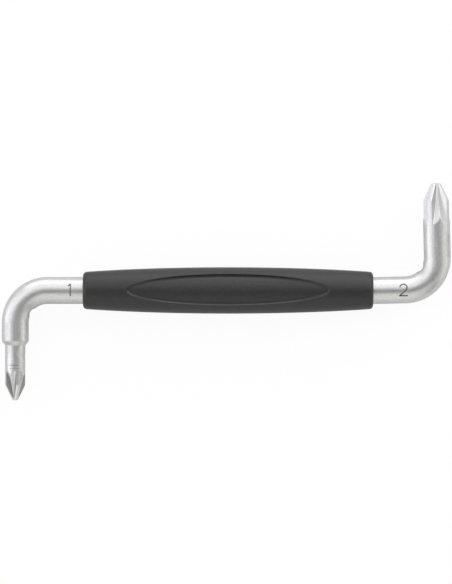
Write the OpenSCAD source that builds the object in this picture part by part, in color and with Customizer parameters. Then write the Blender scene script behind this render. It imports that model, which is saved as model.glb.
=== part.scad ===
// Offset screwdriver: a round bar bent to a flat Z, with a cross tip on each end and a moulded handle.
// The tool lies flat. X runs along the handle and the origin is on the floor under the bar's middle.

/* [Bar] */
// Thickness of the round bar
bar_d = 6; // [5:0.1:7]
// Distance between the axes of the two arms
arm_span = 94; // [92:1:130]
// Radius of the tight bends, on the bar's axis
bend_r = 7.2; // [6:0.1:8]
// Tilt of the large end towards its own arm, in degrees
large_tilt = 1.3; // [0:0.1:2]
// Offset of the large end where it leaves its flat, away from its own arm
large_drop = 0.22; // [0:0.02:0.3]

/* [Bend marks] */
// Radius of the mark that the forming pin leaves inside each bend
mark_r = 1.4; // [1:0.1:2]
// Depth of that mark
mark_depth = 0.4; // [0.1:0.01:0.5]
// Place of that mark, in degrees back from the end of the bend
mark_back = 34; // [20:1:50]

/* [Small end] */
// Reach from the bar's axis to the tip
small_reach = 24.5; // [22:0.5:34]
// Thickness of the turned-down shank
small_shank_d = 4.5; // [4:0.1:4.8]
// Distance of the shoulder from the bar's axis
shoulder_reach = 11.3; // [9:0.1:12]
// Length of the sloping shoulder
shoulder_len = 0.9; // [0.5:0.1:1.5]
// Width of the nose
small_nose_d = 1.27; // [1.1:0.01:1.5]
// Thickness of the wings
small_wing_t = 0.76; // [0.6:0.01:0.9]
// Distance of the flute floor from the axis at the nose
small_core = 0.5; // [0.45:0.01:0.6]
// Radius of the flute cutter
small_cutter_r = 27; // [24:1:32]
// Turn of the wings about the shank, in degrees
small_wing_turn = -18; // [-45:1:45]

/* [Large end] */
// Reach from the bar's axis to the tip
large_reach = 23.9; // [22:0.1:34]
// Width of the nose
large_nose_d = 2.29; // [2:0.01:2.6]
// Thickness of the wings
large_wing_t = 1; // [0.8:0.01:1.2]
// Distance of the flute floor from the axis at the nose
large_core = 0.83; // [0.7:0.01:0.9]
// Radius of the flute cutter
large_cutter_r = 44; // [36:1:50]
// Turn of the wings about the shank, in degrees
large_wing_turn = -30; // [-45:1:45]

/* [Both tips] */
// Slope of the point's cone from the axis, in degrees
point_slope = 26.5; // [25:0.5:28]
// Height of the rounded nose
nose_crown = 0.2; // [0.1:0.05:0.3]
// Slope of the flute floor at the nose, in degrees
floor_slope = 7; // [5:0.5:8]
// Fall of the flute floor towards the ribs between the wings, in degrees
rib_fall = 11.25; // [8:0.25:14]

/* [Handle] */
// Length of the handle
handle_len = 64.6; // [50:0.2:65]
// Thickness at the middle
handle_mid_d = 10.3; // [9.8:0.1:14]
// Thickness at the ends
handle_end_d = 8.2; // [7.8:0.1:9.4]
// Rounding of the end edges
end_edge_r = 0.9; // [0.4:0.1:1]
// Shift of the handle from the bar's middle, towards the large end
handle_shift = 0.4; // [0:0.1:0.8]
// Length of the oval recess
recess_len = 45; // [30:0.5:48]
// Width of the oval recess
recess_w = 6.7; // [5:0.1:7.4]
// Depth of the oval recess
recess_depth = 0.55; // [0.2:0.05:0.6]

/* [Flats inside the handle] */
// Width of each place where the bar is pressed flat
flat_w = 7.2; // [6.6:0.1:7.4]
// Thickness there
flat_t = 4; // [3:0.1:4.6]
// Length along the bar
flat_len = 5; // [3:0.5:6]
// Distance of the flats from the handle's middle
flat_at = 24; // [16:0.5:25]
// Length at each end of a flat where it runs out into the round bar
flat_runout = 1; // [0.5:0.1:1.2]
// Gap between the bar and the moulding round it
seat_gap = 0.02; // [0.01:0.01:0.05]

/* [Hidden] */

$fn = 96;
bar_r = bar_d / 2;

// The barrel is the middle of a long ellipsoid, through the middle and end thicknesses.
handle_mid_r = handle_mid_d / 2;
barrel_half = handle_len / 2 / sqrt(1 - pow(handle_end_d / handle_mid_d, 2));

// The handle lies on the barrel at the recess's ends, or on the recess floor if that is lower.
axis_z = max(handle_mid_r - recess_depth, barrel_radius(recess_len / 2));

// The end rounding's arc stands this much proud of the barrel where it starts, so that the two cross.
edge_lift = 0.005;
cutter_fn = 240;
past = 1;

// Length of each end of the bar, from the middle of its flat to its arm's axis, so that the two bends
// reach equally far out.
small_run = arm_span / 2 - flat_at + handle_shift;
large_straight = arm_span / 2 - flat_at - handle_shift - bend_r;
large_run = (large_straight + bend_r * sin(large_tilt)) / cos(large_tilt) + bend_r;

// Radius of the barrel at a distance from its middle.
function barrel_radius(x) = handle_mid_r * sqrt(1 - pow(x / barrel_half, 2));

// The mark of the forming pin inside a bend, in the frame of the bend's centre.
module forming_mark() {
    pin_offset = bend_r - bar_r + mark_depth - mark_r;
    rotate([0, 0, -mark_back])
        translate([pin_offset, 0, -bar_r])
            cylinder(r = mark_r, h = bar_d);
}

// Half outline of an arm, from the bend at the bottom to the nose at the top.
module arm_outline(len, shoulder, shank_d, nose_d) {
    nose_r = nose_d / 2;
    crown_r = (pow(nose_r, 2) + pow(nose_crown, 2)) / (2 * nose_crown);
    point_len = (shank_d / 2 - nose_r) / tan(point_slope);
    nose_y = len - nose_crown;
    step = shank_d < bar_d ? [[bar_r, shoulder], [shank_d / 2, shoulder + shoulder_len]] : [];
    point = [[shank_d / 2, nose_y - point_len], [nose_r, nose_y], [0, nose_y]];
    polygon(concat([[0, 0], [bar_r, 0]], step, point));
    intersection() {
        translate([0, len - crown_r])
            circle(crown_r);
        translate([0, nose_y])
            square([nose_r, nose_crown]);
    }
}

// Cutters for the flutes: one cone-rimmed disc runs along each side of each wing, out of the nose.
module flute_cutters(len, shank_d, wing_t, core, cutter_r) {
    depth = shank_d / 2;
    far_r = cutter_r + depth * tan(rib_fall);
    reach = core + cutter_r * cos(floor_slope);
    rise = len + cutter_r * sin(floor_slope);
    for (wing = [0:3], side = [0, 1])
        rotate([0, 0, 90 * wing])
            mirror([0, side, 0])
                translate([reach, wing_t / 2, rise])
                    rotate([-90, 0, 0])
                        cylinder(h = depth, r1 = cutter_r, r2 = far_r, $fn = cutter_fn);
}

// A straight arm along +Y from the end of its bend, with its cross tip at the far end.
module arm(len, shoulder, shank_d, nose_d, wing_t, core, cutter_r, wing_turn) {
    rotate([-90, 0, 0])
        difference() {
            rotate_extrude()
                arm_outline(len, shoulder, shank_d, nose_d);
            rotate([0, 0, wing_turn])
                flute_cutters(len, shank_d, wing_t, core, cutter_r);
        }
}

// The round bar beyond a flat, along +X from the flat's middle and up to a length.
module round_bar(len, gap) {
    start = flat_len / 2 - flat_runout - gap;
    translate([start, 0, 0])
        rotate([0, 90, 0])
            cylinder(r = bar_r + gap, h = len - start);
}

// One end of the bar along +X from the middle of its flat, bent towards +Y, with the arm as the child.
module bent_end(run) {
    straight = run - bend_r;
    round_bar(straight, 0);
    translate([straight, bend_r, 0])
        difference() {
            rotate([0, 0, -90])
                rotate_extrude(angle = 90)
                    translate([bend_r, 0])
                        circle(bar_r);
            forming_mark();
        }
    translate([run, bend_r, 0])
        children();
}

// The middle of the bar with its two flats, grown by a gap.
module middle_bar(gap) {
    for (side = [-1, 1])
        translate([side * flat_at, 0, 0])
            cube([flat_len + 2 * gap, flat_w + 2 * gap, flat_t + 2 * gap], center = true);
    translate([-flat_at, 0, 0])
        round_bar(2 * flat_at - flat_len / 2 + flat_runout + gap, gap);
}

// Places its children at the middle of the small or the large flat, along that end of the bar.
module at_small_end() {
    translate([handle_shift - flat_at, 0, 0])
        rotate([0, 0, 180])
            children();
}

module at_large_end() {
    translate([handle_shift + flat_at, -large_drop, 0])
        rotate([0, 0, large_tilt])
            children();
}

// Solid barrel along X, thinner by the inset, with rounded end edges.
module barrel(inset) {
    edge_x = handle_len / 2 - end_edge_r;
    edge_y = barrel_radius(edge_x) - end_edge_r + edge_lift;
    rotate([0, 90, 0])
        rotate_extrude()
            difference() {
                intersection() {
                    scale([handle_mid_r - inset, barrel_half])
                        circle(1);
                    translate([0, -handle_len / 2])
                        square([handle_mid_r, handle_len]);
                }
                for (end = [0, 1])
                    mirror([0, end])
                        translate([edge_y, edge_x])
                            difference() {
                                square(end_edge_r + past);
                                circle(end_edge_r);
                            }
            }
}

// The oval recess in the face that looks up, with a floor that follows the barrel.
module recess() {
    difference() {
        scale([recess_len / recess_w, 1, 1])
            cylinder(d = recess_w, h = handle_mid_r + past);
        barrel(recess_depth);
    }
}

module blade() {
    small_len = small_reach - bend_r;
    large_len = (large_reach + large_drop - large_run * sin(large_tilt)) / cos(large_tilt) - bend_r;
    color([0.80, 0.80, 0.81])
        translate([0, 0, axis_z]) {
            translate([handle_shift, 0, 0])
                middle_bar(0);
            at_small_end()
                bent_end(small_run)
                    arm(small_len, shoulder_reach - bend_r, small_shank_d,
                        small_nose_d, small_wing_t, small_core, small_cutter_r, small_wing_turn);
            at_large_end()
                bent_end(large_run)
                    arm(large_len, 0, bar_d,
                        large_nose_d, large_wing_t, large_core, large_cutter_r, large_wing_turn);
        }
}

module handle() {
    bore_len = handle_len / 2;
    color([0.20, 0.20, 0.21])
        translate([0, 0, axis_z])
            difference() {
                translate([handle_shift, 0, 0])
                    difference() {
                        barrel(0);
                        recess();
                        mirror([0, 0, 1])
                            recess();
                        middle_bar(seat_gap);
                    }
                at_small_end()
                    round_bar(bore_len, seat_gap);
                at_large_end()
                    round_bar(bore_len, seat_gap);
            }
}

blade();
handle();
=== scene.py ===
import math

import bpy
import numpy as np
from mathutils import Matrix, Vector


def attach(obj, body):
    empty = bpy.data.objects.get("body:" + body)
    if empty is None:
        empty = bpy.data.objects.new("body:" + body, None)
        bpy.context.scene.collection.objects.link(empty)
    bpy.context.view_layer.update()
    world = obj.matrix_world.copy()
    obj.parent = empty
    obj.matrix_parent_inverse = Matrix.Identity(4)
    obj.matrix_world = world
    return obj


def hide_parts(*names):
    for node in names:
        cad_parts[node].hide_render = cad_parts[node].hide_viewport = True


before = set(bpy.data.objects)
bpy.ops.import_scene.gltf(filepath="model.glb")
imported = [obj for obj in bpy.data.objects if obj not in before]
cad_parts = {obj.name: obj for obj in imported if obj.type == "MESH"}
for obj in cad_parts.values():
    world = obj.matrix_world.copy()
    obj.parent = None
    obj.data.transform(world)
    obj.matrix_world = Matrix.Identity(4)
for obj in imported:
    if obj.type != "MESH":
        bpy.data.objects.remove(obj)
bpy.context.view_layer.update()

# The scene is in metres. Sizes are in millimetres and radians, as in the part's source, and a list of half
# sizes runs along the bar, across it and up.
MM = 0.001
BAR_R = 3.0
BEND_R = 7.2
ARM_X = 47.0
TILT = math.radians(1.3)
LARGE_DROP = 0.22
MARK_R = 1.4
MARK_DEPTH = 0.4
MARK_BACK = math.radians(34)
SMALL_REACH = 24.5
LARGE_REACH = 23.9
SHOULDER = 11.3
SHOULDER_LEN = 0.9
POINT_SLOPE = math.radians(26.5)
FLOOR_SLOPE = math.radians(7)
RIB_FALL = math.radians(11.25)
CROWN = 0.2

HANDLE_HALF = 32.3
HANDLE_MID_R = 5.15
HANDLE_END_R = 4.1
BARREL_HALF = HANDLE_HALF / math.sqrt(1 - (HANDLE_END_R / HANDLE_MID_R) ** 2)
HANDLE_SHIFT = 0.4
END_EDGE_R = 0.9
RECESS_HALF = (22.5, 3.35)
RECESS_DEPTH = 0.55
FLAT_AT = 24.0
FLAT_HALF = (2.5, 3.6, 2.0)
FLAT_RUNOUT = 1.0
SEAT_GAP = 0.02

AXIS_Z = HANDLE_MID_R * math.sqrt(1 - (RECESS_HALF[0] / BARREL_HALF) ** 2)
PIVOT_X = HANDLE_SHIFT + FLAT_AT
LARGE_STRAIGHT = (ARM_X - PIVOT_X - BEND_R + BEND_R * math.sin(TILT)) / math.cos(TILT)
LARGE_RUN = LARGE_STRAIGHT + BEND_R
LARGE_TIP_Y = (LARGE_REACH + LARGE_DROP - LARGE_RUN * math.sin(TILT)) / math.cos(TILT)

# Each tip: radii of its shank and nose, half a wing's thickness, core and cutter of the flutes, and its turn.
# The arm is plain from "plain" on, and its points move to the plain bar's places over "fade". The rest is
# painted light and shade, from 0 to 1: a painted highlight on the cone and on the rib, and painted shade on
# the flutes' floor. A pair is for the two sides of a wing: painted shade and painted highlight on the flank,
# painted shade in the inner corner, and a painted highlight beside that corner.
SMALL_TIP = {
    "shank": 2.25, "nose": 0.635, "wing": 0.38, "core": 0.5, "cutter": 27.0, "turn": math.radians(18),
    "plain": 8.3, "fade": 2.6, "cone": 0.35, "rib": 1.0, "floor": 0.0,
    "painted_shade": (0.45, 0.5), "painted_flank_highlight": (0.0, 0.0), "corner": (0.75, 0.65), "line": (0.3, 0.9),
}
LARGE_TIP = {
    "shank": 3.0, "nose": 1.145, "wing": 0.5, "core": 0.83, "cutter": 44.0, "turn": math.radians(60),
    "plain": 9.6, "fade": 3.0, "cone": 0.2, "rib": 0.3, "floor": 0.1,
    "painted_shade": (0.1, 0.0), "painted_flank_highlight": (0.0, 0.65), "corner": (0.6, 0.0), "line": (0.8, 0.3),
}

# The large end's drop is spread over this length, inside its flat.
DROP_RUN = 4.0


def soft_min(a, b, edge):
    """The smaller of two values, rounded over where they cross."""
    return 0.5 * (a + b - np.sqrt((a - b) ** 2 + edge**2))


def soft_max(a, b, edge):
    """The larger of two values, rounded over where they cross."""
    return 0.5 * (a + b + np.sqrt((a - b) ** 2 + edge**2))


def ease(t):
    """A smooth step from 0 to 1."""
    t = np.clip(t, 0, 1)
    return t * t * (3 - 2 * t)


def hump(distance, width):
    """A smooth hump that is 1 at no distance."""
    return np.exp(-((distance / width) ** 2))


def steps(*runs):
    """Places along a run, from (start, end, spacing) triples that follow each other."""
    parts = [np.linspace(a, b, max(2, round(abs(b - a) / gap) + 1))[:-1] for a, b, gap in runs]
    return np.concatenate(parts + [[runs[-1][1]]])


def net(first, rows, around):
    """Faces between closed rows of points, from the number of the first point."""
    place = first + np.arange(rows * around).reshape(rows, around)
    beside = np.roll(place, -1, 1)
    return np.stack([place[:-1], beside[:-1], beside[1:], place[1:]], -1).reshape(-1, 4)


def large_drop(past):
    """Drop of the large end at a distance past the middle of its flat."""
    return LARGE_DROP * ease((past + DROP_RUN / 2) / DROP_RUN)


def on_large_end(x, y):
    """A place along the large end of the bar, which starts at the middle of its flat."""
    place_x = PIVOT_X + x * math.cos(TILT) - y * math.sin(TILT)
    return place_x, x * math.sin(TILT) + y * math.cos(TILT) - large_drop(x)


# The cross tips. A section has its points on the wing's end, its flank, and the flute's floor up to the rib.
END_ROWS = np.array([0, 0.4, 0.7, 0.88, 0.965])
FLANK_ROWS = 0.5 - 0.5 * np.cos(np.linspace(0, np.pi, 11))[:-1]
FLOOR_ROWS = 0.5 - 0.5 * np.cos(np.linspace(0, np.pi, 12))
ROUND_POINTS = 8 * (len(END_ROWS) + len(FLANK_ROWS) + len(FLOOR_ROWS) - 1)

# Rounding of the cone's foot, of the flute's corner and of the wing's edges.
CONE_SOFT = 0.05
CORNER_SOFT = 0.05
WING_SOFT = 0.035

# Limits that keep the rows of a section in order, where the nose is narrow and where a flute is shallow.
EDGE_MOST = 0.6
ROOT_MOST = 0.76
FLANK_LEAST = 0.006

# Widths of the colour on a tip, the flank from which it has full strength, and where the cone's colour ends.
RIB_WIDTH = 0.07
CORNER_WIDTH = 0.11
LINE_AT = 0.22
LINE_WIDTH = 0.1
FULL_FLANK = 0.4
CONE_ENDS = 0.02


def crown_ball(tip):
    """Radius of the ball that rounds a nose."""
    return (tip["nose"] ** 2 + CROWN**2) / (2 * CROWN)


def nose_places(tip, shares):
    """Distances from the end of a nose to where it has these shares of its radius."""
    ball = crown_ball(tip)
    return [ball - math.sqrt(ball**2 - (tip["nose"] * share) ** 2) for share in shares]


def cone_end(tip):
    """Distance from the end of a nose to where the cone meets the shank."""
    return CROWN + (tip["shank"] - tip["nose"]) / math.tan(POINT_SLOPE)


def point_radius(z, tip):
    """Radius of the uncut point at a distance from the end of its nose."""
    ball = crown_ball(tip)
    if z < CROWN:
        return math.sqrt(max(ball**2 - (ball - z) ** 2, 0))
    return float(soft_min(tip["nose"] + (z - CROWN) * math.tan(POINT_SLOPE), tip["shank"], CONE_SOFT))


def flute_floor(y, z, tip):
    """Distance of a flute's floor from the axis, at a distance from the wing's middle and from the nose."""
    rim = tip["cutter"] + (y - tip["wing"]) * math.tan(RIB_FALL)
    along = z + tip["cutter"] * math.sin(FLOOR_SLOPE)
    return tip["core"] + tip["cutter"] * math.cos(FLOOR_SLOPE) - np.sqrt(rim**2 - along**2)


def painted_light_and_shade(tip, cone, flank, on_floor):
    """Painted shade and painted highlights on the rows of a section, on the two sides of a wing."""
    strength = np.clip(flank / FULL_FLANK, 0, 1)
    mid_flank = np.sin(np.pi * FLANK_ROWS) ** 0.5
    from_corner = np.append((1 - FLANK_ROWS) * flank, on_floor)
    rib = tip["rib"] * hump(on_floor[-1] - on_floor, RIB_WIDTH)
    dark, bright = [], []
    for side in (0, 1):
        # Painted shade on the flank and on the flute's floor.
        painted_shade = np.append(tip["painted_shade"][side] * mid_flank, np.full(len(FLOOR_ROWS), tip["floor"]))
        # Painted shade in the flute's inner corner.
        corner = tip["corner"][side] * hump(from_corner, CORNER_WIDTH)
        dark.append(np.append(0 * END_ROWS, strength * np.maximum(painted_shade, corner)))
        # A painted highlight on the flank.
        painted_flank_highlight = tip["painted_flank_highlight"][side] * mid_flank
        # Painted highlights beside the corner and on the rib.
        line = tip["line"][side] * hump(on_floor - LINE_AT, LINE_WIDTH)
        rubbed = strength * np.append(painted_flank_highlight, np.maximum(rib, line))
        bright.append(np.append(cone + 0 * END_ROWS, rubbed))
    return dark, bright


def tip_section(z, tip):
    """Angles round a tip, the radii there, and its painted shade and painted highlights."""
    outer, half = point_radius(z, tip), tip["wing"]
    edge = math.asin(min(half / outer, EDGE_MOST))
    root = min(max(math.atan2(half, flute_floor(half, z, tip)), edge + FLANK_LEAST), ROOT_MOST)
    edge = min(edge, root - FLANK_LEAST)
    start, stop = half / math.tan(edge), half / math.tan(root)
    angle = np.concatenate([
        edge * END_ROWS,
        np.arctan2(half, start + (stop - start) * FLANK_ROWS),
        root + (np.pi / 4 - root) * FLOOR_ROWS,
    ])
    floor = flute_floor(half, z, tip) / np.cos(angle)
    for _ in range(5):
        floor = flute_floor(floor * np.sin(angle), z, tip) / np.cos(angle)
    flank = half / np.maximum(np.sin(angle), 1e-4)
    radius = soft_min(outer, soft_max(flank, floor, CORNER_SOFT), WING_SOFT)

    # A painted highlight on the cone.
    cone = tip["cone"] * (outer < tip["shank"] - CONE_ENDS)
    on_floor = FLOOR_ROWS * (np.pi / 4 - root) * radius[-1]
    dark, bright = painted_light_and_shade(tip, cone, start - stop, on_floor)
    quarter = np.concatenate([angle[:-1], np.pi / 2 - angle[:0:-1]])
    angles = np.concatenate([quarter + k * np.pi / 2 for k in range(4)])
    sides = ((radius, radius), dark, bright)
    around = [np.tile(np.concatenate([first[:-1], second[:0:-1]]), 4) for first, second in sides]
    return angles + tip["turn"], *around


# The plain bar. Its points lie closer together within this angle of its top, where it is marked.
TOP_HALF = 0.56
TOP_CLOSER = 5
FLAT_SOFT = 0.1


def plain_angles(start):
    """Angles of the points round the plain bar."""
    samples = 4001
    angle = np.linspace(start, start + 2 * np.pi, samples)
    from_top = (angle + np.pi / 2) % (2 * np.pi) - np.pi
    weight = np.cumsum(1 + TOP_CLOSER * np.exp(-((from_top / TOP_HALF) ** 6)))
    share = (weight - weight[0]) / (weight[-1] - weight[0])
    return np.interp(np.arange(ROUND_POINTS) / ROUND_POINTS, share, angle)


def bar_radius(x, angle, gap):
    """Radius of the straight bar with its two flats, grown by a gap."""
    half_length, half_width, half_thickness = FLAT_HALF
    away = abs(abs(x - HANDLE_SHIFT) - FLAT_AT)
    flat = ease((half_length + gap - away) / FLAT_RUNOUT)
    across = half_width / np.maximum(abs(np.cos(angle)), 0.01)
    block = soft_min(across, half_thickness / np.maximum(abs(np.sin(angle)), 0.01), FLAT_SOFT)
    return BAR_R + gap + flat * (block - BAR_R)


# The arms, as rings of points. Rings lie close together near a cone's foot and near the shoulder's edges.
CONE_NEAR = 0.2
SHOULDER_NEAR = 0.15
SHOULDER_SOFT = 0.06
SMALL_NOSE_ROWS = (0.2, 0.4, 0.6, 0.78, 0.91, 0.98)
LARGE_NOSE_ROWS = (0.15, 0.3, 0.45, 0.6, 0.75, 0.87, 0.95, 0.985)

# The fine turned lines above the small tip: distance from the nose and depth.
TURNED_LINES = ((7.14, 0.022), (7.8, 0.026), (8.12, 0.009))
TURNED_FROM = 6.9
TURNED_WIDTH = 0.08


def arm_sections(tip, places, plain_radius):
    """Angles, radii and colours of an arm's rings, at distances from the end of its nose."""
    plain = plain_angles(tip["turn"])
    for z in places:
        angle, radius, dark, bright = tip_section(min(z, tip["plain"]), tip)
        angle = angle + (plain - angle) * ease((z - tip["plain"]) / tip["fade"])
        if z > tip["plain"]:
            radius = np.full(ROUND_POINTS, plain_radius(z))
        yield z, angle, radius, dark, bright


def small_arm():
    """Rings from the small nose to the bend."""
    edge, plain, shank = cone_end(SMALL_TIP), SMALL_TIP["plain"], SMALL_TIP["shank"]
    low, high = SMALL_REACH - SHOULDER - SHOULDER_LEN, SMALL_REACH - SHOULDER

    def plain_radius(z):
        slope = shank + (z - low) * (BAR_R - shank) / SHOULDER_LEN
        return min(soft_max(shank, soft_min(slope, BAR_R, SHOULDER_SOFT), SHOULDER_SOFT), BAR_R)

    places = steps(
        (CROWN, edge - CONE_NEAR, 0.14), (edge - CONE_NEAR, edge + CONE_NEAR, 0.06),
        (edge + CONE_NEAR, TURNED_FROM, 0.13), (TURNED_FROM, plain, 0.05), (plain, low - SHOULDER_NEAR, 0.5),
        (low - SHOULDER_NEAR, low + SHOULDER_NEAR, 0.03), (low + SHOULDER_NEAR, high - SHOULDER_NEAR, 0.2),
        (high - SHOULDER_NEAR, high + SHOULDER_NEAR, 0.03), (high + SHOULDER_NEAR, SMALL_REACH - BEND_R, 0.5),
    )
    places = nose_places(SMALL_TIP, SMALL_NOSE_ROWS) + list(places)
    rings = []
    for z, angle, radius, *colours in arm_sections(SMALL_TIP, places, plain_radius):
        for line, depth in TURNED_LINES:
            radius = radius - depth * hump(z - line, TURNED_WIDTH)
        rings.append((-ARM_X, z - SMALL_REACH, np.pi / 2, angle, radius, *colours))
    return rings


def large_arm():
    """Rings from the bend to the large nose."""
    edge, plain = cone_end(LARGE_TIP), LARGE_TIP["plain"]
    places = steps(
        (CROWN, edge - CONE_NEAR, 0.15), (edge - CONE_NEAR, edge + CONE_NEAR, 0.07),
        (edge + CONE_NEAR, plain, 0.15), (plain, LARGE_TIP_Y - BEND_R, 0.5),
    )
    places = nose_places(LARGE_TIP, LARGE_NOSE_ROWS) + list(places)
    rings = []
    for z, *section in arm_sections(LARGE_TIP, places, lambda z: BAR_R):
        rings.append((*on_large_end(LARGE_RUN, LARGE_TIP_Y - z), np.pi / 2 + TILT, *section))
    return rings[::-1]


# The bar and its bends. Rings lie close together at the flats and at the engraved numbers. The first number
# has a short stretch of the bar. The second starts at this distance past the middle of the large flat, and
# ends in the first shares of the bend.
BEND_RINGS = 48
FLAT_NEAR = 2.6
ONE_FROM, ONE_TO = -35.45, -34.35
TWO_FROM = 13.9

# The rings' points pass from the small end's places to the large end's over this half length.
PASS_HALF = 20


def bar_and_bends():
    """Rings of the small bend, the bar through the handle and the large bend."""
    small, large = plain_angles(SMALL_TIP["turn"]), plain_angles(LARGE_TIP["turn"])
    full, none = np.full(ROUND_POINTS, BAR_R), np.zeros(ROUND_POINTS)
    rings = []
    for k in range(1, BEND_RINGS):
        heading = np.pi / 2 * (1 - k / BEND_RINGS)
        x, y = -ARM_X + BEND_R * (1 - math.sin(heading)), -BEND_R * (1 - math.cos(heading))
        rings.append((x, y, heading, small, full, none, none))
    near, far = HANDLE_SHIFT - HANDLE_HALF, HANDLE_SHIFT + HANDLE_HALF
    small_flat = HANDLE_SHIFT - FLAT_AT
    for x in steps(
        (-ARM_X + BEND_R, ONE_FROM, 0.5), (ONE_FROM, ONE_TO, 0.045), (ONE_TO, near, 0.5),
        (near, small_flat - FLAT_NEAR, 1.2), (small_flat - FLAT_NEAR, small_flat + FLAT_NEAR, 0.25),
        (small_flat + FLAT_NEAR, PIVOT_X - FLAT_NEAR, 2.4), (PIVOT_X - FLAT_NEAR, PIVOT_X, 0.25),
    ):
        angle = small + (large - small) * ease((x + PASS_HALF) / (2 * PASS_HALF))
        heading = TILT / 2 if x == PIVOT_X else 0.0
        rings.append((x, -large_drop(x - PIVOT_X), heading, angle, bar_radius(x, angle, 0.0), none, none))
    for past in steps(
        (0.25, FLAT_NEAR, 0.25), (FLAT_NEAR, far - PIVOT_X, 1.2), (far - PIVOT_X, TWO_FROM, 0.5),
        (TWO_FROM, LARGE_STRAIGHT, 0.05),
    ):
        x, y = on_large_end(past, 0)
        rings.append((x, y, TILT, large, bar_radius(x, large, 0.0), none, none))
    centre = on_large_end(LARGE_STRAIGHT, BEND_R)
    for share in steps((0.005, 0.05, 0.005), (0.05, 1, 1 / 46))[:-1]:
        heading = TILT + np.pi / 2 * share
        x, y = centre[0] + BEND_R * math.sin(heading), centre[1] - BEND_R * math.cos(heading)
        rings.append((x, y, heading, large, full, none, none))
    return rings


# The edge of the forming pin's mark, how far round it the bar is pushed, and the scuffs beside it.
MARK_SOFT = 0.07
MARK_NEAR = 0.5
SCUFF_DARK = 0.5
SCUFF_WIDTH = 0.28
SCUFF_LINES = 15


def press_forming_mark(points, x, y):
    """Pushes the inside of a bend out of the forming pin's place, and gives how scuffed it is there."""
    reach = np.hypot(points[..., 0] - x, points[..., 1] - y)
    grown = np.where(reach < MARK_R + MARK_NEAR, soft_max(reach, MARK_R, MARK_SOFT), reach) / reach
    points[..., 0] = x + (points[..., 0] - x) * grown
    points[..., 1] = y + (points[..., 1] - y) * grown
    hatch = 0.65 + 0.35 * np.sin(SCUFF_LINES * (points[..., 0] + points[..., 1]))
    return SCUFF_DARK * hatch * hump(np.maximum(reach - MARK_R, 0), SCUFF_WIDTH)


# The engraved size numbers: their places on the bar, half their height, and the cut of a stroke.
ONE_AT = (-34.72, 0.13)
TWO_AT = (39.35, 0.1)
NUMBER_HALF = 1.27
STROKE_HALF = 0.165
STROKE_EDGE = 0.07
STROKE_DEPTH = 0.045


def number_one():
    """Corners of its stroke about its middle."""
    return [(-0.42, 0.86), (0.06, NUMBER_HALF), (0.06, -NUMBER_HALF)]


def number_two():
    """Corners of its stroke about its middle, with the bow as an arc."""
    bow_r, bow_y = 0.8, 0.47
    turns = np.radians(np.linspace(168, -38, 24))
    bow = [(bow_r * math.cos(turn), bow_y + bow_r * math.sin(turn)) for turn in turns]
    return bow + [(-0.84, -NUMBER_HALF), (0.88, -NUMBER_HALF)]


def stroke_distance(x, y, stroke):
    """Distance from points to the nearest place on a stroke."""
    best = np.full(np.shape(x), np.inf)
    for (ax, ay), (bx, by) in zip(stroke, stroke[1:]):
        ux, uy = bx - ax, by - ay
        t = np.clip(((x - ax) * ux + (y - ay) * uy) / (ux * ux + uy * uy), 0, 1)
        best = np.minimum(best, np.hypot(x - ax - t * ux, y - ay - t * uy))
    return best


def engrave_numbers(points, outward, engraved):
    """Cuts the size numbers into the top of the bar and darkens them."""
    for stroke, (x, y) in ((number_one(), ONE_AT), (number_two(), TWO_AT)):
        reach = stroke_distance(points[..., 0] - x, points[..., 1] - y, stroke)
        on_top = points[..., 2] > AXIS_Z + BAR_R / 2
        cut = ease((STROKE_HALF - reach) / STROKE_EDGE) * on_top
        points = points - outward * (STROKE_DEPTH * cut)[..., None]
        engraved = np.maximum(engraved, cut)
    return points, engraved


# Darkening in the turned lines: how dark it is for a millimetre of depth, its width, and its half length
# across.
TURNED_LINE_DARK = 32
TURNED_LINE_DARK_WIDTH = 0.1
TURNED_LINE_DARK_HALF = 1.2


def darken_turned_lines(points, engraved):
    """Darkens the turned lines by their depth, where they face up or down."""
    from_nose, from_axis = points[..., 1] + SMALL_REACH, points[..., 0] + ARM_X
    across = np.exp(-((from_axis / TURNED_LINE_DARK_HALF) ** 4))
    for line, depth in TURNED_LINES:
        engraved = np.maximum(engraved, TURNED_LINE_DARK * depth * hump(from_nose - line, TURNED_LINE_DARK_WIDTH) * across)
    return engraved


# The blade is drawn in by a hair, so that the round bar stays inside the box of the faceted CAD solid.
BLADE_DRAWN_IN = 0.9999


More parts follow.
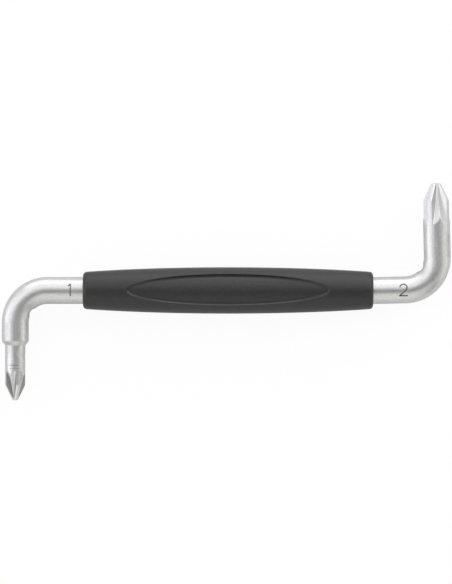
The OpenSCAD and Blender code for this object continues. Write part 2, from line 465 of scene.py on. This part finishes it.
def blade_mesh():
    rings = small_arm() + bar_and_bends() + large_arm()
    x, y, heading, angle, radius, dark, bright = map(np.array, zip(*rings))
    middle = np.stack([x, y, np.full(len(x), AXIS_Z)], -1)
    heading, angle, radius = heading[:, None, None], angle[..., None], radius[..., None]
    across = np.concatenate([-np.sin(heading), np.cos(heading), np.zeros_like(heading)], 2)
    outward = across * np.cos(angle) + np.array([0, 0, 1.0]) * np.sin(angle)
    points = middle[:, None, :] + outward * radius

    pin = BEND_R - BAR_R + MARK_DEPTH - MARK_R
    pin_x, pin_y = pin * math.cos(MARK_BACK), BEND_R - pin * math.sin(MARK_BACK)
    engraved = press_forming_mark(points, -ARM_X + BEND_R - pin_x, -pin_y)
    engraved = engraved + press_forming_mark(points, *on_large_end(LARGE_STRAIGHT + pin_x, pin_y))
    points, engraved = engrave_numbers(points, outward, engraved)
    # The tips' painted shade joins the engraving, the scuffs and the darkened turned lines.
    engraved = np.maximum(darken_turned_lines(points, engraved), dark)

    count, around = points.shape[:2]
    ends = np.array([
        [-ARM_X, -SMALL_REACH, AXIS_Z],
        [on_large_end(LARGE_RUN, LARGE_TIP_Y)[0], LARGE_REACH, AXIS_Z],
    ])
    vertices = np.concatenate([points.reshape(-1, 3), ends]) * BLADE_DRAWN_IN
    small_end, large_end, last = count * around, count * around + 1, (count - 1) * around
    first = np.arange(around)
    beside = np.roll(first, -1)
    fans = [(small_end, b, a) for a, b in zip(first, beside)]
    fans += [(large_end, a, b) for a, b in zip(last + first, last + beside)]
    along = np.append(0, np.cumsum(np.linalg.norm(np.diff(middle, axis=0), axis=1)))
    # The dark marks carry the tips' painted shade too, and the bright ones are the tips' painted highlights.
    marks = {
        "engraved": np.append(engraved.ravel(), [0, 0]),
        "rubbed": np.append(bright.ravel(), [0, 0]),
        "along": np.append(np.repeat(along, around), [0, along[-1]]),
    }
    return vertices, net(0, count, around).tolist() + fans, marks


# The handle. Each half is a net of rows round the oval recess, from its floor's middle to the parting line.
SIDE_POINTS, END_POINTS = 112, 48
RECESS_ROWS = [0, 0.16, 0.32, 0.48, 0.64, 0.78, 0.9]
RIM_ROWS = [0, 0.1, 0.2, 0.3, 0.45, 0.6, 0.75, 0.85, 0.93, 1]
STEEP_RISE = [0, 0.015, 0.09, 0.22, 0.45, 0.68, 0.88, 0.955, 0.99, 1]
FACE_ROWS = [0.03, 0.08, 0.15, 0.24, 0.34, 0.45, 0.56, 0.67, 0.78, 0.88, 0.955, 0.985, 1.0]
OVAL_CORNER = math.radians(35)
MIDDLE_LINE = 0.94
PARTING_LINE = 0.02

# The recess gets shallower towards its ends: from which share of its length, and by which share of its depth.
SHALLOW_FROM = 0.55
SHALLOW_BY = 0.45

# The recess's rim is steep on the upper side and rounded on the lower side: its width where it is steep, what
# the rounded side adds and its ends take off, and how far it is out of the oval on the steep side and at the
# ends. Then the curve of the rounded side, and where on that side a highlight is painted.
RIM_WIDTH = 0.52
RIM_ROUNDED_ADDS = 0.48
RIM_ENDS_TAKE = 0.1
RIM_OUT_STEEP = 0.4
RIM_OUT_ENDS = 0.1
RIM_CURVE = 2.2
RIM_HIGHLIGHT_AT = 0.86
RIM_HIGHLIGHT_WIDTH = 0.1

# The mouth of the seat: distance from the handle's end and gap to the bar.
MOUTH = ((0, 0.07), (0.02, 0.04))
MOUTH_DEPTH = 0.3
SEAT_NEAR = 2.7


def barrel_radius(x):
    return HANDLE_MID_R * np.sqrt(1 - (x / BARREL_HALF) ** 2)


def face_nodes():
    """Angles round the oval's outline, and the place on the edge of the half handle that each leads to."""
    edge_x = HANDLE_HALF - END_EDGE_R
    ends, sides = np.linspace(-1, 1, END_POINTS + 1)[:-1], np.linspace(-1, 1, SIDE_POINTS + 1)[:-1]
    oval = np.concatenate([
        OVAL_CORNER * ends,
        np.pi / 2 + (np.pi / 2 - OVAL_CORNER) * sides,
        np.pi + OVAL_CORNER * ends,
        1.5 * np.pi + (np.pi / 2 - OVAL_CORNER) * sides,
    ])
    along = np.concatenate([
        np.full(END_POINTS, edge_x), -edge_x * sides, np.full(END_POINTS, -edge_x), edge_x * sides
    ])
    across = np.pi / 2 * np.concatenate([ends, np.ones(SIDE_POINTS), -ends, -np.ones(SIDE_POINTS)])
    return oval, along, across


def half_handle():
    """Rows of points on the upper half, from the middle line of the recess floor to the parting line, and the
    painted highlight on them, along the lower edge of the recess."""
    oval, along, across = face_nodes()
    a, b = RECESS_HALF
    length = np.hypot(b * np.cos(oval), a * np.sin(oval))
    normal = np.stack([b * np.cos(oval) / length, a * np.sin(oval) / length])
    rows, painted_rim_highlights = [], []

    def lay(x, y, rise, worn):
        depth = RECESS_DEPTH * (1 - SHALLOW_BY * ease((abs(x) / a - SHALLOW_FROM) / (1 - SHALLOW_FROM)))
        outer, floor = barrel_radius(x), barrel_radius(x) * (1 - depth / HANDLE_MID_R)
        low, high = np.sqrt(floor**2 - y**2), np.sqrt(outer**2 - y**2)
        rows.append(np.stack([x, y, low + (high - low) * rise], -1))
        painted_rim_highlights.append(worn)

    # From 0 on the steep side to 1 on the rounded side, and from 0 on the sides to 1 at the ends.
    rounded = ease(0.5 - 1.2 * np.sin(oval))
    ends = np.cos(oval) ** 4
    width = RIM_WIDTH + RIM_ROUNDED_ADDS * rounded * (1 - ends) - RIM_ENDS_TAKE * rounded * ends
    inside = width - RIM_OUT_STEEP * (1 - rounded) * (1 - ends) - RIM_OUT_ENDS * ends
    inner = np.stack([a * np.cos(oval), b * np.sin(oval)]) - normal * inside
    for share in RECESS_ROWS:
        lay(inner[0] * (MIDDLE_LINE + (1 - MIDDLE_LINE) * share), inner[1] * share, 0.0, 0 * oval)
    for out, steep in zip(RIM_ROWS, STEEP_RISE):
        x, y = inner + normal * width * out
        # A painted highlight along the rounded lower rim.
        worn = rounded * (1 - ends) ** 2 * hump(out - RIM_HIGHLIGHT_AT, RIM_HIGHLIGHT_WIDTH)
        lay(x, y, steep + (out ** (RIM_CURVE - ends) - steep) * rounded, worn)
    start_x, start_y = rows[-1][:, 0], rows[-1][:, 1]
    start = np.arcsin(start_y / barrel_radius(start_x))
    for share in FACE_ROWS:
        x, turn = start_x + (along - start_x) * share, start + (across - start) * share
        on_parting = np.isclose(abs(across), np.pi / 2) * (share == 1.0)
        radius = barrel_radius(x) + PARTING_LINE * on_parting
        rows.append(np.stack([x, radius * np.sin(turn), radius * np.cos(turn)], -1))
        painted_rim_highlights.append(0 * oval)
    return np.array(rows), np.array(painted_rim_highlights)


def end_and_seat_rings():
    """Rings over the rounded edge of one end, along the seat round the bar, and over the other edge."""
    turn = -np.pi / 2 + np.pi * np.arange(2 * END_POINTS) / END_POINTS
    on_parting = np.isclose(np.cos(turn), 0)
    edge_x = HANDLE_HALF - END_EDGE_R
    edge_r = barrel_radius(edge_x) - END_EDGE_R
    seat = steps(
        (HANDLE_HALF - MOUTH_DEPTH, FLAT_AT + SEAT_NEAR, 0.7),
        (FLAT_AT + SEAT_NEAR, FLAT_AT - SEAT_NEAR, 0.2),
        (FLAT_AT - SEAT_NEAR, 0, 3),
    )
    rings = []
    for side in (1, -1):
        half = []
        for bend in np.radians(np.linspace(0, 90, 12)):
            x, radius = edge_x + END_EDGE_R * math.sin(bend), edge_r + END_EDGE_R * math.cos(bend)
            half.append((x, radius + PARTING_LINE * on_parting * math.cos(bend), 0.0))
        for depth, gap in MOUTH:
            half.append((HANDLE_HALF - depth, BAR_R + gap, 1.0))
        for x in seat:
            half.append((x, bar_radius(HANDLE_SHIFT + side * x, np.pi / 2 - turn, SEAT_GAP), 1.0))
        laid = []
        for x, radius, on_bar in half:
            past = side * x - FLAT_AT
            shift = on_bar * (max(0, past) * math.tan(TILT) - large_drop(past))
            place = [side * x + 0 * turn, shift + radius * np.sin(turn), radius * np.cos(turn)]
            laid.append(np.stack(place, -1))
        rings += laid if side > 0 else laid[-2::-1]
    return np.array(rings)


# The handle's rows run the other way round than the blade's, so its faces are turned to look out.
TURNED_FACE = [0, 3, 2, 1]


def handle_mesh():
    upper, painted_rim_highlights = half_handle()
    lower = upper * np.array([1, -1, -1.0])
    rings = end_and_seat_rings()
    vertices, faces, first = [], [], 0
    for rows in (upper, lower, rings):
        count, around = rows.shape[:2]
        vertices.append(rows.reshape(-1, 3))
        faces.append(net(first, count, around)[:, TURNED_FACE])
        first += count * around
    moved = np.concatenate(vertices) + np.array([HANDLE_SHIFT, 0, AXIS_Z])
    worn = np.concatenate([painted_rim_highlights.ravel(), painted_rim_highlights.ravel(), np.zeros(rings[..., 0].size)])
    return moved, np.concatenate(faces).tolist(), {"worn": worn}


def show(name, data):
    shown = bpy.data.objects.new(name, data)
    bpy.context.scene.collection.objects.link(shown)
    return shown


def make_piece(name, vertices, faces, marks, finish):
    """A smooth piece with a finish, whose marks are values at its points."""
    mesh = bpy.data.meshes.new(name)
    mesh.from_pydata((vertices * MM).tolist(), [], faces)
    mesh.update()
    for face in mesh.polygons:
        face.use_smooth = True
    for mark, values in marks.items():
        mesh.attributes.new(mark, "FLOAT", "POINT").data.foreach_set("value", values)
    mesh.materials.append(finish)
    return show(name, mesh)


class Wire:
    """A value in a shader. Python's operators on it add Math nodes."""

    def __init__(self, bench, socket):
        self.bench, self.socket = bench, socket

    def maths(self, operation, *values):
        return self.bench.add("ShaderNodeMath", {"operation": operation}, dict(enumerate(values)))

    def __add__(self, other):
        return self.maths("ADD", self, other)

    __radd__ = __add__

    def __mul__(self, other):
        return self.maths("MULTIPLY", self, other)

    __rmul__ = __mul__

    def __sub__(self, other):
        return self.maths("SUBTRACT", self, other)

    def __rsub__(self, other):
        return self.maths("SUBTRACT", other, self)

    def at_least(self, other):
        return self.maths("MAXIMUM", self, other)


class Bench:
    """The node tree of one finish, or of the world."""

    def __init__(self, tree):
        self.tree = tree
        tree.nodes.clear()

    def add(self, kind, settings=None, sockets=None, output=0):
        node = self.tree.nodes.new(kind)
        for name, value in (settings or {}).items():
            setattr(node, name, value)
        for name, value in (sockets or {}).items():
            socket = node.inputs[name]
            if isinstance(value, Wire):
                self.tree.links.new(value.socket, socket)
            else:
                socket.default_value = value
        return Wire(self, node.outputs[output] if node.outputs else None)

    def noise(self, where, scale, detail, rough=0.5):
        sockets = {"Vector": where, "Scale": scale, "Detail": detail, "Roughness": rough}
        return self.add("ShaderNodeTexNoise", None, sockets)

    def tint(self, share, first, second):
        settings = {"data_type": "RGBA"}
        return self.add("ShaderNodeMix", settings, {0: share, 6: first, 7: second}, 2)

    def mark(self, name):
        return self.add("ShaderNodeAttribute", {"attribute_name": name}, None, "Fac")

    def ray(self, kind):
        return self.add("ShaderNodeLightPath", None, None, kind)


def new_finish(name):
    material = bpy.data.materials.new(name)
    material.use_nodes = True
    return material, Bench(material.node_tree)


def grey(level):
    return level, level, level, 1


def plated_steel():
    """Satin plating over ground steel: fine grinding lines run round the bar, and the tips have painted
    highlights.
    The engraving, the scuffs and the darkened turned lines are dark, and so is the painted shade on the tips."""
    material, bench = new_finish("satin_plated_steel")
    where = bench.add("ShaderNodeTexCoord", None, None, "Object")
    dark, rubbed, along = bench.mark("engraved"), bench.mark("rubbed"), bench.mark("along")
    sockets = {"W": along, "Scale": 14.0, "Detail": 2.0}
    lines = bench.add("ShaderNodeTexNoise", {"noise_dimensions": "1D"}, sockets)
    cloud = bench.noise(where, 500.0, 3.0)
    grain = bench.noise(where, 3000.0, 2.0, 0.6)
    colour = bench.tint(1.4 * grain - 0.2, grey(0.5), grey(0.72))
    # Painted highlights on the tips' cones, ribs and flanks.
    colour = bench.tint(rubbed, colour, grey(0.95))
    # The engraving, scuffs and darkened turned lines, and the painted shade on the tips' flanks, corners and
    # flute floors.
    colour = bench.tint(dark, colour, (0.09, 0.086, 0.082, 1))
    rough = 0.3 + 0.06 * cloud + 0.12 * grain + 0.2 * dark
    sockets = {"Strength": 1.0, "Distance": 0.009 * MM, "Height": lines + grain}
    bump = bench.add("ShaderNodeBump", None, sockets)
    surface = bench.add("ShaderNodeBsdfPrincipled", None, {
        "Base Color": colour, "Metallic": 1.0, "Roughness": rough, "Normal": bump,
    })
    bench.add("ShaderNodeOutputMaterial", None, {"Surface": surface})
    return material


def moulded_plastic():
    """Near-black moulding with a fine matt grain, and a painted highlight along the recess's lower edge."""
    material, bench = new_finish("matt_moulded_plastic")
    where = bench.add("ShaderNodeTexCoord", None, None, "Object")
    grain = bench.noise(where, 4200.0, 3.0, 0.6)
    cloud = bench.noise(where, 120.0, 3.0)
    worn = bench.mark("worn")
    colour = bench.tint(3.5 * grain - 1.25, (0.002, 0.002, 0.0021, 1), (0.014, 0.014, 0.0144, 1))
    # A painted highlight along the recess's lower edge.
    colour = bench.tint(worn, colour, grey(0.055))
    rough = 0.41 + 0.06 * cloud + 0.1 * grain
    bump = bench.add("ShaderNodeBump", None, {"Strength": 1.0, "Distance": 0.03 * MM, "Height": grain})
    surface = bench.add("ShaderNodeBsdfPrincipled", None, {
        "Base Color": colour, "Roughness": rough, "Specular IOR Level": 0.57, "Normal": bump,
        "Sheen Weight": 0.2, "Sheen Roughness": 0.3,
    })
    bench.add("ShaderNodeOutputMaterial", None, {"Surface": surface})
    return material


def white_paper():
    """White paper, which the lens and the metal see lit from behind, with a faint shadow."""
    material, bench = new_finish("white_paper")
    seen, shown = bench.ray("Is Camera Ray"), bench.ray("Is Glossy Ray")
    through = bench.ray("Is Transmission Ray")
    shade = bench.tint(seen, grey(0.8), grey(0.95))
    paper = bench.add("ShaderNodeBsdfDiffuse", None, {"Color": shade})
    glow = bench.add("ShaderNodeEmission", None, {"Color": grey(1), "Strength": 1.0})
    share = (0.93 * seen).at_least(0.06 * shown.at_least(through))
    both = bench.add("ShaderNodeMixShader", None, {0: share, 1: paper, 2: glow})
    bench.add("ShaderNodeOutputMaterial", None, {"Surface": both})
    return material


# The studio, in metres: white paper in a tent of soft boxes, with a gap overhead for the camera. Each box has
# its direction, lowest and highest edge in degrees, its width and its level.
TENT = {
    "far_low": (90, 2, 17, 1.7, 3.4),
    "far_high": (90, 17, 78, 1.5, 1.12),
    "near": (270, 2, 66, 1.6, 0.93),
    "left_low": (180, 2, 17, 1.7, 2.4),
    "left_high": (180, 17, 60, 1.4, 1.25),
    "right_low": (0, 2, 17, 1.7, 1.3),
    "right_high": (0, 17, 46, 1.5, 0.66),
    "far_right": (45, 6, 50, 0.7, 2.4),
    "far_left": (135, 6, 50, 0.6, 0.55),
}
TENT_RADIUS = 1.2

# Light from the left is a little cool, and light from the right and from the near side a little warm.
LEFT_COOL = 0.03
RIGHT_WARM = 0.02
NEAR_WARM = 0.04

# The light from all round, half the floor's width, and the camera over the bar.
WORLD_LIGHT = 0.17
FLOOR_HALF = 3
CAMERA_HEIGHT = 1.2
CAMERA_X, CAMERA_Y = -0.00006, -0.000345
PICTURE_HEIGHT = 0.13004
SENSOR = 36


def lay_floor():
    half = FLOOR_HALF
    corners = [(-half, -half, 0), (half, -half, 0), (half, half, 0), (-half, half, 0)]
    mesh = bpy.data.meshes.new("floor")
    mesh.from_pydata(corners, [], [(0, 1, 2, 3)])
    mesh.materials.append(white_paper())
    floor = show("floor", mesh)


def hang_box(name, turn, lowest, highest, width, level):
    """A soft box that faces the tool, with its brightness."""
    turn, rise, tall = map(math.radians, (turn, (lowest + highest) / 2, highest - lowest))
    lamp = bpy.data.lights.new(name, "AREA")
    lamp.shape = "RECTANGLE"
    lamp.size, lamp.size_y = width, 2 * TENT_RADIUS * math.tan(tall / 2)
    lamp.energy = level * math.pi * lamp.size * lamp.size_y
    left, right, near = max(-math.cos(turn), 0), max(math.cos(turn), 0), max(-math.sin(turn), 0)
    cooled = 1 - LEFT_COOL * left
    lamp.color = (cooled, cooled, 1 - RIGHT_WARM * right - NEAR_WARM * near)
    flat = math.cos(rise)
    place = Vector((flat * math.cos(turn), flat * math.sin(turn), math.sin(rise))) * TENT_RADIUS
    box = show(name, lamp)
    box.location = place
    box.rotation_euler = place.to_track_quat("Z", "Y").to_euler()
    box.visible_camera = False


def light_world():
    world = bpy.data.worlds.new("studio")
    world.use_nodes = True
    bpy.context.scene.world = world
    bench = Bench(world.node_tree)
    strength = WORLD_LIGHT + (1 - WORLD_LIGHT) * bench.ray("Is Camera Ray")
    light = bench.add("ShaderNodeBackground", None, {"Color": grey(1), "Strength": strength})
    bench.add("ShaderNodeOutputWorld", None, {"Surface": light})


def set_camera():
    """A camera straight above the tool, in the gap of the tent."""
    camera = bpy.data.cameras.new("camera")
    camera.sensor_width = SENSOR
    camera.clip_start, camera.clip_end = 0.05, 20
    camera.lens = SENSOR * CAMERA_HEIGHT / PICTURE_HEIGHT
    shot = show("camera", camera)
    shot.location = (CAMERA_X, CAMERA_Y, AXIS_Z * MM + CAMERA_HEIGHT)
    bpy.context.scene.camera = shot
    bpy.context.scene.view_settings.view_transform = "Standard"


blade = make_piece("bent_blade", *blade_mesh(), plated_steel())
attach(blade, "root")
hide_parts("blade")

handle = make_piece("moulded_handle", *handle_mesh(), moulded_plastic())
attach(handle, "root")
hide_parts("handle")

lay_floor()
for name, box in TENT.items():
    hang_box(name, *box)
light_world()
set_camera()
